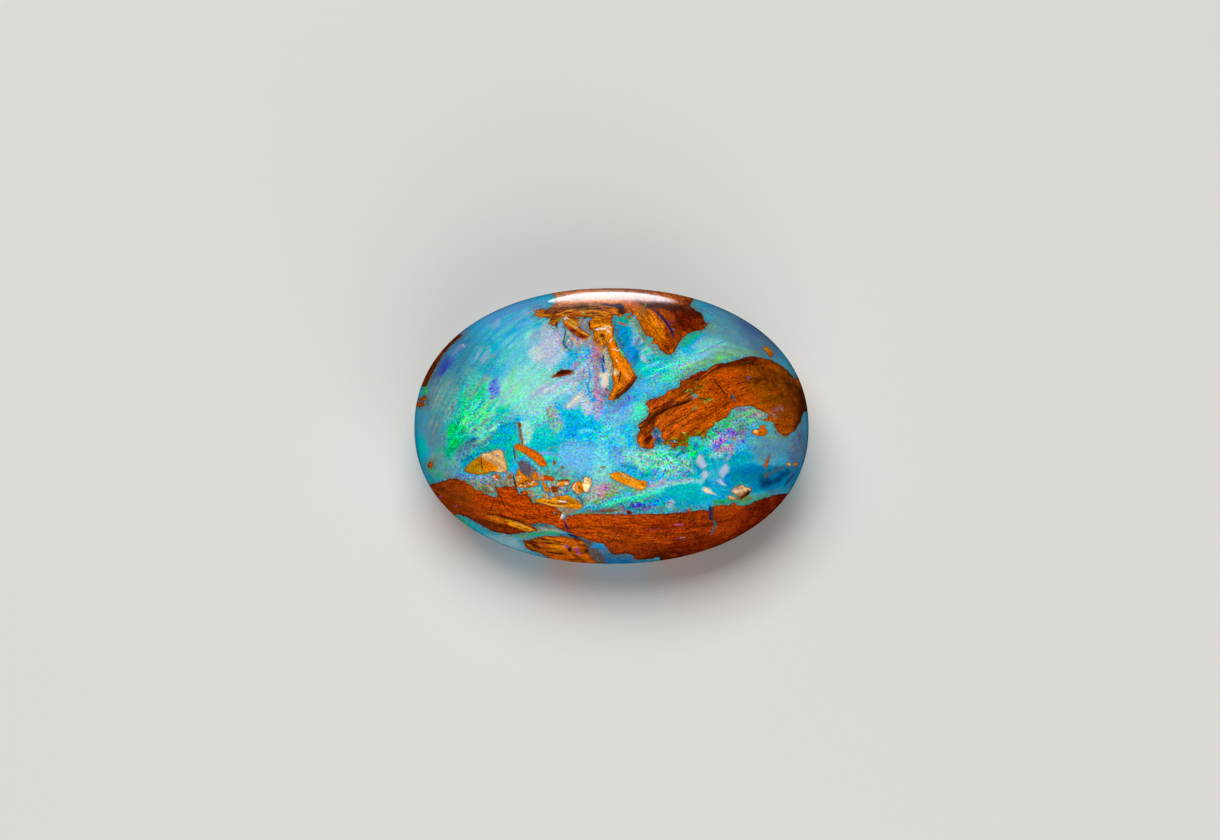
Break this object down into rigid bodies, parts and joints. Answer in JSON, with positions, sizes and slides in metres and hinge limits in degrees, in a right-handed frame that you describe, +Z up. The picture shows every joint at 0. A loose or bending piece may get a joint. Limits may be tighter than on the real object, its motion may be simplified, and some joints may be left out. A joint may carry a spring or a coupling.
{
  "type": "polished opalized wood stone",
  "caption": "Oval polished stone of fossil wood filled with precious opal: a full domed crown, a shallower rounded back and a flat facet to rest on.",
  "frame": {"origin": "middle of the flat facet that the stone rests on", "axes": "+X along the stone's length, +Y away from its front, +Z up through its domed crown"},
  "size_m": [0.02, 0.0148, 0.008],
  "materials": {
    "polished_opal": "glassy polish over blue, green and violet opal with bands and chips of orange-brown fossil wood"
  },
  "bodies": {
    "root": {"opalized_wood_stone": "polished_opal"}
  },
  "joints": []
}
